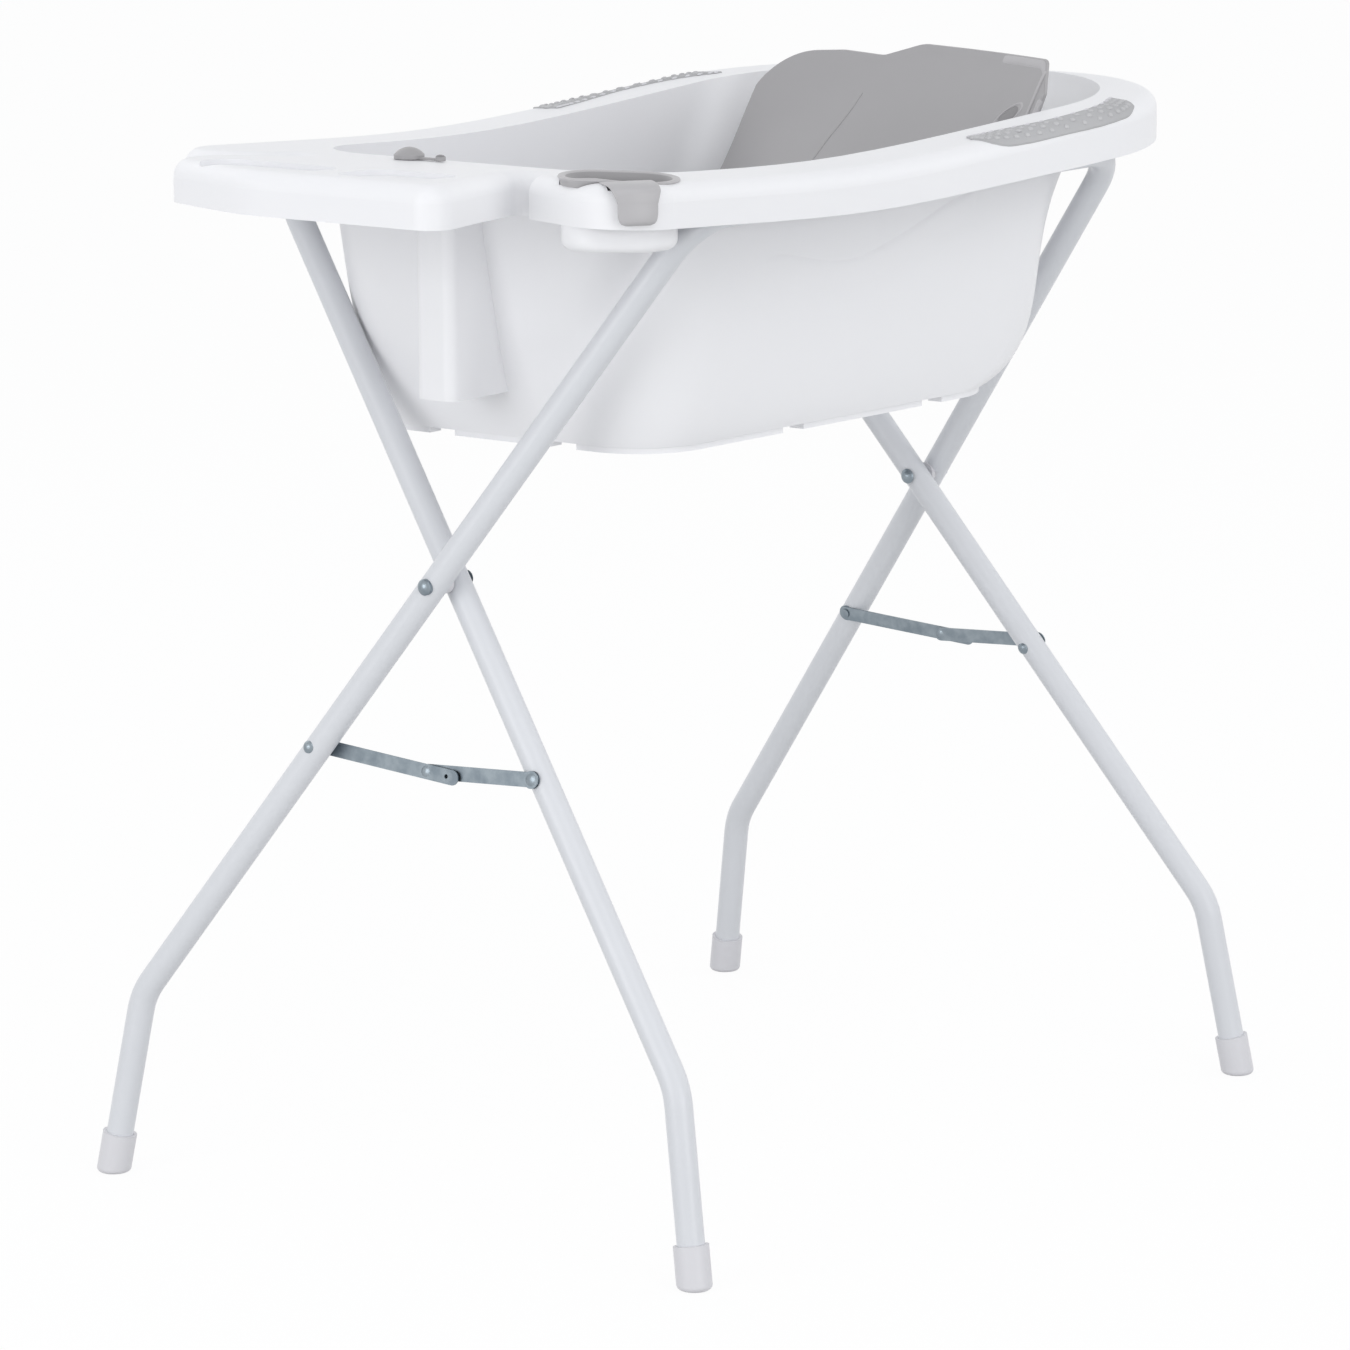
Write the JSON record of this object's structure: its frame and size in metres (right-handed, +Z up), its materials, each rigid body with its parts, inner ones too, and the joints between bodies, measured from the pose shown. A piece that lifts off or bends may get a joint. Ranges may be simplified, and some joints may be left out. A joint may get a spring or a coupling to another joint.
{
  "type": "baby bath with folding stand",
  "caption": "Moulded baby bath with soap tray, recliner and rinse cup on a folding X stand of bent tube with locking braces.",
  "frame": {"origin": "on the floor, under the middle of the bath's length and width", "axes": "+X from the foot end with its tray to the head end, +Y from the near side to the far side, +Z up"},
  "size_m": [0.935, 0.6076, 0.8809],
  "materials": {
    "shell": "white moulded plastic with a soft gloss",
    "grey_plastic": "light grey moulded plastic",
    "grip": "soft grey overmould with a dotted texture",
    "tube": "white powder coat",
    "cap": "white moulded plastic",
    "zinc": "zinc plated steel"
  },
  "bodies": {
    "outer_stand": {"outer_frame": "tube", "outer_foot_cap_foot_end": "cap", "outer_foot_cap_head_end": "cap", "pivot_rivet_foot_end": "zinc", "pivot_rivet_head_end": "zinc", "pivot_spacer_foot_end": "cap", "pivot_spacer_head_end": "cap", "brace_outer_rivet_foot_end": "zinc", "brace_outer_rivet_head_end": "zinc", "outer_brace_washers": "zinc"},
    "inner_stand": {"inner_frame": "tube", "inner_foot_cap_foot_end": "cap", "inner_foot_cap_head_end": "cap", "brace_inner_rivet_foot_end": "zinc", "brace_inner_rivet_head_end": "zinc", "inner_brace_washers": "zinc"},
    "long_link_foot_end": {"brace_long_link_foot_end": "zinc", "brace_mid_rivet_head_foot_end": "zinc"},
    "short_link_foot_end": {"brace_short_link_foot_end": "zinc", "brace_mid_rivet_tail_foot_end": "zinc"},
    "long_link_head_end": {"brace_long_link_head_end": "zinc", "brace_mid_rivet_head_head_end": "zinc"},
    "short_link_head_end": {"brace_short_link_head_end": "zinc", "brace_mid_rivet_tail_head_end": "zinc"},
    "bath": {"bath_shell": "shell", "rim_grip_near": "grip", "rim_grip_far": "grip", "drain_outlet": "grey_plastic"},
    "recliner": {"recliner": "grey_plastic"},
    "rinse_cup": {"rinse_cup": "grey_plastic"},
    "drain_plug": {"drain_plug": "grey_plastic"}
  },
  "joints": [
    {"name": "stand_fold", "type": "hinge", "parent": "outer_stand", "child": "inner_stand", "pos_m": [0.0255, 0, 0.509], "axis": [1, 0, 0], "range_deg": [0, 58]},
    {"name": "long_link_turn_foot_end", "type": "hinge", "parent": "outer_stand", "child": "long_link_foot_end", "pos_m": [-0.32459, 0.10418, 0.368], "axis": [-0.9854, 0, 0.1703], "range_deg": [0, 50.96]},
    {"name": "short_link_turn_foot_end", "type": "hinge", "parent": "inner_stand", "child": "short_link_foot_end", "pos_m": [-0.32459, -0.10418, 0.368], "axis": [0.9854, 0, -0.1703], "range_deg": [0, 50.96]},
    {"name": "long_link_turn_head_end", "type": "hinge", "parent": "outer_stand", "child": "long_link_head_end", "pos_m": [0.37559, 0.10418, 0.368], "axis": [-0.9854, 0, -0.1703], "range_deg": [0, 50.96]},
    {"name": "short_link_turn_head_end", "type": "hinge", "parent": "inner_stand", "child": "short_link_head_end", "pos_m": [0.37559, -0.10418, 0.368], "axis": [0.9854, 0, 0.1703], "range_deg": [0, 50.96]},
    {"name": "bath_lift", "type": "slide", "parent": "outer_stand", "child": "bath", "axis": [0, -0.1628, 0.9867], "range_m": [0, 1.162]},
    {"name": "recliner_lift", "type": "slide", "parent": "bath", "child": "recliner", "axis": [0, 0, 1], "range_m": [0, 0.3]},
    {"name": "cup_lift", "type": "slide", "parent": "bath", "child": "rinse_cup", "axis": [0, 0, 1], "range_m": [0, 0.12]},
    {"name": "plug_lift", "type": "slide", "parent": "bath", "child": "drain_plug", "axis": [0, 0, 1], "range_m": [0, 0.05]}
  ],
  "couplings": [
    {"joint": "long_link_turn_foot_end", "follows": "stand_fold", "ratio": 0.87685},
    {"joint": "short_link_turn_foot_end", "follows": "stand_fold", "ratio": 0.87685},
    {"joint": "long_link_turn_head_end", "follows": "stand_fold", "ratio": 0.87685},
    {"joint": "short_link_turn_head_end", "follows": "stand_fold", "ratio": 0.87685},
    {"joint": "bath_lift", "follows": "stand_fold", "m_per_rad": 1.146}
  ]
}
